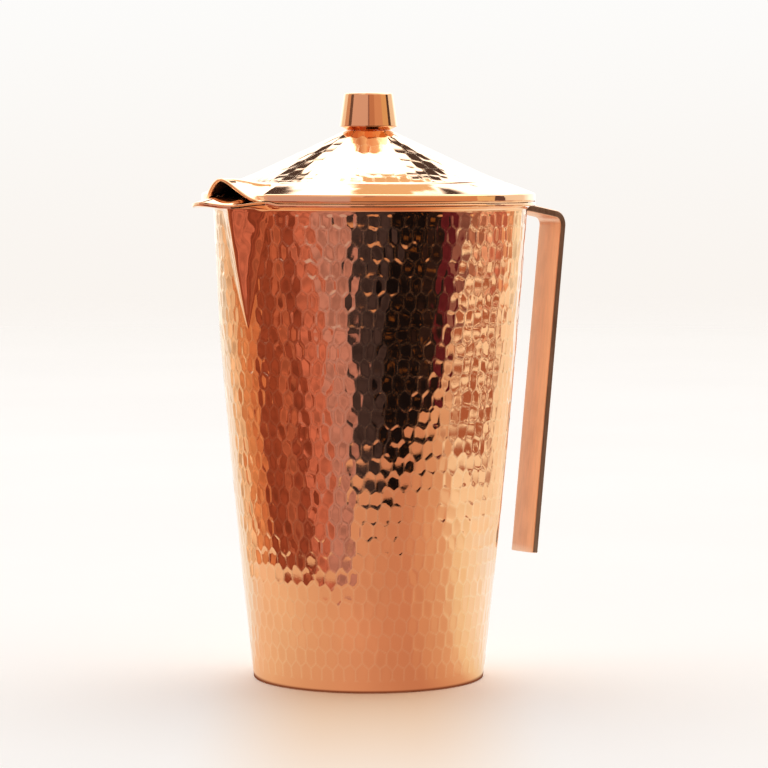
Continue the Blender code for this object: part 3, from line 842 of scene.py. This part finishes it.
def brushed(name, rgb, roughness, grain, strength=0.12, darkest=0.80):
    """Satin copper: long scratches, drawn out by the grain's scale factors, and darker patches."""
    material, shader, nodes, place_at = new_metal(name)
    lines = nodes.noise(nodes.scaled(place_at, grain), 1.0, 4.0, 0.65)
    patches = nodes.noise(place_at, 45.0, 4.0, 0.6)
    tone = nodes.math("MULTIPLY_ADD", lines, 0.7, nodes.math("MULTIPLY", patches, 0.3))
    tone = nodes.ramp(tone, 0.36, 0.64)
    nodes.link(nodes.colours(tone, shade(rgb, darkest), shade(rgb, 2.0 - darkest)), shader.inputs["Base Color"])
    nodes.link(nodes.ramp(lines, 0.3, 0.7, 0.8 * roughness, 1.2 * roughness), shader.inputs["Roughness"])
    bump = nodes.add("ShaderNodeBump")
    bump.inputs["Strength"].default_value = strength
    bump.inputs["Distance"].default_value = 0.0003
    nodes.link(lines, bump.inputs["Height"])
    nodes.link(bump.outputs[0], shader.inputs["Normal"])
    return material


# ---- Studio -------------------------------------------------------------------------------------


def towards_camera(front, right):
    """A floor point this far in front of the jug's axis, seen from the camera, and to its right."""
    sin, cos = math.sin(CAMERA_TURN), math.cos(CAMERA_TURN)
    return (front * sin + right * cos, -front * cos + right * sin, 0.0)


def turned_to_camera(nodes, way):
    """How far this points to the camera's right, towards the camera, and up."""
    turned = nodes.add("ShaderNodeVectorRotate", rotation_type="Z_AXIS")
    nodes.link(way, turned.inputs["Vector"])
    turned.inputs["Angle"].default_value = -CAMERA_TURN
    split = nodes.add("ShaderNodeSeparateXYZ")
    nodes.link(turned.outputs[0], split.inputs[0])
    x, y, z = split.outputs
    return x, nodes.math("MULTIPLY", y, -1.0), z


def seen_from_jug(nodes, way):
    """Azimuth in degrees, from the camera's side round to its right, and the height."""
    right, front, up = turned_to_camera(nodes, way)
    azimuth = nodes.math("ARCTAN2", right, front)
    return nodes.math("MULTIPLY", azimuth, 180.0 / math.pi), up


def stage_plane(name, corners, material, in_reflections):
    mesh = bpy.data.meshes.new(name)
    mesh.from_pydata(corners, [], [list(range(len(corners)))])
    mesh.materials.append(material)
    plane = bpy.data.objects.new(name, mesh)
    bpy.context.scene.collection.objects.link(plane)
    plane.visible_camera = not in_reflections
    plane.visible_diffuse = not in_reflections
    plane.visible_glossy = in_reflections
    plane.visible_shadow = False
    return plane


def floor_with_painted_glow():
    """A matt pale floor that fades into the backdrop far away, with a painted orange glow in front of the jug,
    towards the camera, standing in for light the copper throws on it.
    """
    material = bpy.data.materials.new("floor_pale_painted_glow")
    material.use_nodes = True
    nodes = Nodes(material.node_tree)
    shader = material.node_tree.nodes["Principled BSDF"]
    output = material.node_tree.nodes["Material Output"]
    shader.inputs["Roughness"].default_value = 0.9
    shader.inputs["Specular IOR Level"].default_value = 0.03
    place_at = nodes.add("ShaderNodeTexCoord").outputs["Object"]
    mottle = nodes.ramp(nodes.noise(place_at, 3.0), 0.3, 0.7)
    pale = nodes.colours(mottle, shade(FLOOR_COLOUR, 0.99), shade(FLOOR_COLOUR, 1.01))
    length = nodes.add("ShaderNodeVectorMath", operation="LENGTH")
    nodes.link(place_at, length.inputs[0])
    # Painted light: the orange glow in front of the jug, painted into the floor's colour in place of light thrown
    # by the copper
    right, front, _ = turned_to_camera(nodes, place_at)
    glow = nodes.ramp(front, *FLOOR_PAINTED_GLOW_REACH, 0.9, 0.0)
    glow = nodes.math("MULTIPLY", glow, nodes.window(front, 0.01, 0.27, 0.05))
    glow = nodes.math("MULTIPLY", glow, nodes.window(right, -FLOOR_PAINTED_GLOW_SIDE, FLOOR_PAINTED_GLOW_SIDE, FLOOR_PAINTED_GLOW_SOFT))
    nodes.link(nodes.colours(glow, pale, FLOOR_PAINTED_GLOW), shader.inputs["Base Color"])
    clear = nodes.add("ShaderNodeBsdfTransparent")
    blend = nodes.add("ShaderNodeMixShader")
    nodes.link(nodes.ramp(length.outputs["Value"], *FLOOR_FADE), blend.inputs[0])
    nodes.link(shader.outputs[0], blend.inputs[1])
    nodes.link(clear.outputs[0], blend.inputs[2])
    nodes.link(blend.outputs[0], output.inputs["Surface"])
    return material


def lit_table():
    """The table as the copper reflects it: warm in front, where the jug lights it, and paler round the back."""
    material = bpy.data.materials.new("table_lit")
    material.use_nodes = True
    tree = material.node_tree
    tree.nodes.clear()
    nodes = Nodes(tree)
    place_at = nodes.add("ShaderNodeTexCoord").outputs["Object"]
    azimuth, _ = seen_from_jug(nodes, place_at)
    colour = nodes.bands(azimuth, TABLE_GLOW, "LINEAR")
    length = nodes.add("ShaderNodeVectorMath", operation="LENGTH")
    nodes.link(place_at, length.inputs[0])
    # Painted contact shadow: darker close round the jug's foot
    colour = nodes.colours(nodes.ramp(length.outputs["Value"], *CONTACT_SHADE), CONTACT_SHADOW_COLOUR, colour)
    pale = nodes.math("MULTIPLY", nodes.ramp(length.outputs["Value"], *PALE_FROM), nodes.ramp(azimuth, 58.0, 74.0))
    colour = nodes.colours(pale, colour, PALE_COLOUR)
    scraps = nodes.ramp(nodes.noise(place_at, 6.0, 2.0), 0.475, 0.505)
    scraps = nodes.math("MULTIPLY", scraps, nodes.ramp(length.outputs["Value"], *SCRAPS_FROM))
    scraps = nodes.math("MULTIPLY", scraps, nodes.window(azimuth, *SCRAPS_AZIMUTHS, 6.0))
    colour = nodes.colours(scraps, colour, SCRAPS_COLOUR)
    glow = nodes.add("ShaderNodeEmission")
    nodes.link(colour, glow.inputs["Color"])
    output = nodes.add("ShaderNodeOutputMaterial")
    nodes.link(glow.outputs[0], output.inputs["Surface"])
    return material


def make_floor():
    ring = [
        (FLOOR_RADIUS * math.cos(angle), FLOOR_RADIUS * math.sin(angle), 0.0)
        for angle in np.linspace(0, 2 * math.pi, 64, endpoint=False)
    ]
    stage_plane("floor", ring, floor_with_painted_glow(), False)
    table = [towards_camera(*corner) for corner in TABLE_EDGE]
    stage_plane("table_in_reflections", table, lit_table(), True)


def make_world():
    """Pale behind the jug, and round it a studio that only its reflections see."""
    world = bpy.data.worlds.new("studio")
    bpy.context.scene.world = world
    world.use_nodes = True
    tree = world.node_tree
    tree.nodes.clear()
    nodes = Nodes(tree)
    way = nodes.add("ShaderNodeTexCoord").outputs["Generated"]
    azimuth, z = seen_from_jug(nodes, way)
    wobble = nodes.math("SUBTRACT", nodes.noise(way, 9.0, 4.0, 0.6), 0.5)
    azimuth = nodes.math("MULTIPLY_ADD", wobble, 9.0, azimuth)
    plain_level = nodes.math("MULTIPLY", nodes.math("ARCSINE", z), 180.0 / math.pi)
    level = nodes.math("MULTIPLY_ADD", wobble, 2.5, plain_level)

    behind = nodes.colours(nodes.ramp(plain_level, 8.0, 45.0), (1.5, 1.45, 1.4, 1.0), (2.7, 2.6, 2.5, 1.0))
    light = nodes.colours(nodes.window(azimuth, -125, 125, 10.0), behind, nodes.bands(azimuth, OVERHEAD, "LINEAR"))
    front = nodes.window(azimuth, -140, 140, 8.0)
    for stops, low, high in ((ROOM, 3.5, 23.0), (TABLE_HEIGHT, -3.0, 3.5)):
        share = nodes.math("MULTIPLY", front, nodes.window(level, low, high, 0.8))
        light = nodes.colours(share, light, nodes.bands(azimuth, stops, "CONSTANT"))
    below = nodes.bands(azimuth, BELOW_TABLE_HEIGHT, "CONSTANT")
    streaks = nodes.noise(nodes.scaled(way, (1.0, 1.0, 0.5)), 22.0, 2.0, 0.5)
    below = nodes.colours(1.0, below, nodes.ramp(streaks, 0.3, 0.7, 0.72, 1.28), "MULTIPLY")
    flecks = nodes.ramp(nodes.noise(way, 34.0, 1.0), 0.64, 0.69)
    flecks = nodes.math("MULTIPLY", flecks, nodes.window(azimuth, 12.0, 58.0, 5.0))
    below = nodes.colours(flecks, below, FLECKS)
    light = nodes.colours(nodes.window(level, -60.0, -1.9, 0.4), light, below)
    for colour, az, el, soft in PATCHES:
        share = nodes.math("MULTIPLY", nodes.window(azimuth, *az, soft[0]), nodes.window(level, *el, soft[1]))
        light = nodes.colours(share, light, (*colour, 1.0))
    seen = nodes.colours(nodes.ramp(plain_level, -3.0, 5.0), BACKDROP_LOW, BACKDROP_HIGH)
    path = nodes.add("ShaderNodeLightPath")
    glossy = nodes.add("ShaderNodeBackground")
    nodes.link(light, glossy.inputs["Color"])
    soft = nodes.add("ShaderNodeBackground")
    nodes.link(nodes.bands(azimuth, SOFT_LIGHT, "LINEAR"), soft.inputs["Color"])
    backdrop = nodes.add("ShaderNodeBackground")
    nodes.link(seen, backdrop.inputs["Color"])
    first = nodes.add("ShaderNodeMixShader")
    nodes.link(path.outputs["Is Glossy Ray"], first.inputs[0])
    nodes.link(soft.outputs[0], first.inputs[1])
    nodes.link(glossy.outputs[0], first.inputs[2])
    last = nodes.add("ShaderNodeMixShader")
    nodes.link(path.outputs["Is Camera Ray"], last.inputs[0])
    nodes.link(first.outputs[0], last.inputs[1])
    nodes.link(backdrop.outputs[0], last.inputs[2])
    output = nodes.add("ShaderNodeOutputWorld")
    nodes.link(last.outputs[0], output.inputs["Surface"])


def make_camera():
    camera = bpy.data.objects.new("camera", bpy.data.cameras.new("camera"))
    bpy.context.scene.collection.objects.link(camera)
    camera.data.lens = CAMERA_LENS
    camera.data.sensor_width = CAMERA_SENSOR
    camera.data.shift_x = CAMERA_SHIFT
    camera.location = (*towards_camera(CAMERA_DISTANCE, 0.0)[:2], CAMERA_HEIGHT)
    camera.rotation_euler = (math.pi / 2 - CAMERA_PITCH, 0.0, CAMERA_TURN)
    bpy.context.scene.camera = camera


# ---- The jug ------------------------------------------------------------------------------------


def main():
    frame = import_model()
    make_camera()
    copper = (0.96, 0.63, 0.40)
    mirror = polished("polished_copper", copper, 0.045)
    inside = brushed("satin_copper_inside", (0.90, 0.58, 0.38), 0.32, (90.0, 90.0, 700.0), 0.05)
    soft_mirror = polished("polished_copper_knob", copper, 0.06)
    strap = brushed("satin_copper_strap", (0.87, 0.55, 0.385), 0.42, (900.0, 900.0, 12.0), 0.08, 0.94)
    # Painted reflection: a dark copper colour for the strap's narrow edges, in place of the dark surroundings they
    # reflect
    painted_dark_edges = brushed("satin_copper_painted_dark_reflection", (0.20, 0.14, 0.11), 0.40, (500.0, 60.0, 60.0))
    turned = brushed("satin_copper_turned", (0.85, 0.52, 0.33), 0.28, (300.0, 300.0, 900.0), 0.06)
    yellow = brushed("yellow_brass", (0.78, 0.57, 0.26), 0.25, (400.0, 400.0, 400.0), 0.06)

    body = skin_mesh("body_skin", *body_wall_points(), (mirror, inside))
    add_piece("body_skin", body, None, "jug", "body_wall")
    lid = skin_mesh("lid_skin", *lid_points(), (mirror, inside))
    add_piece("lid_skin", lid, None, "lid", "lid_shell")
    knob = grid_mesh("knob_skin", knob_points(), close_rows=False)
    add_piece("knob_skin", knob, soft_mirror, "lid", "knob")
    handle = add_piece("handle_skin", strap_mesh(), strap, "jug", "handle_strap")
    # Painted reflection: the strap's narrow edges get the dark copper colour, standing in for the dark
    # surroundings their polish reflects
    handle.data.materials.append(painted_dark_edges)
    for face in handle.data.polygons:
        if abs(face.normal.y) > 0.85:
            face.material_index = 1
    handle.data.set_sharp_from_angle(angle=math.radians(50))

    for name, node in frame["nodes"].items():
        finish = yellow if name == "knob_screw" else turned
        if name in ("body_wall", "lid_shell", "knob", "handle_strap"):
            continue
        for slot in node.material_slots:
            slot.material = finish

    make_floor()
    make_world()
    bpy.context.scene.view_settings.view_transform = "Standard"


main()
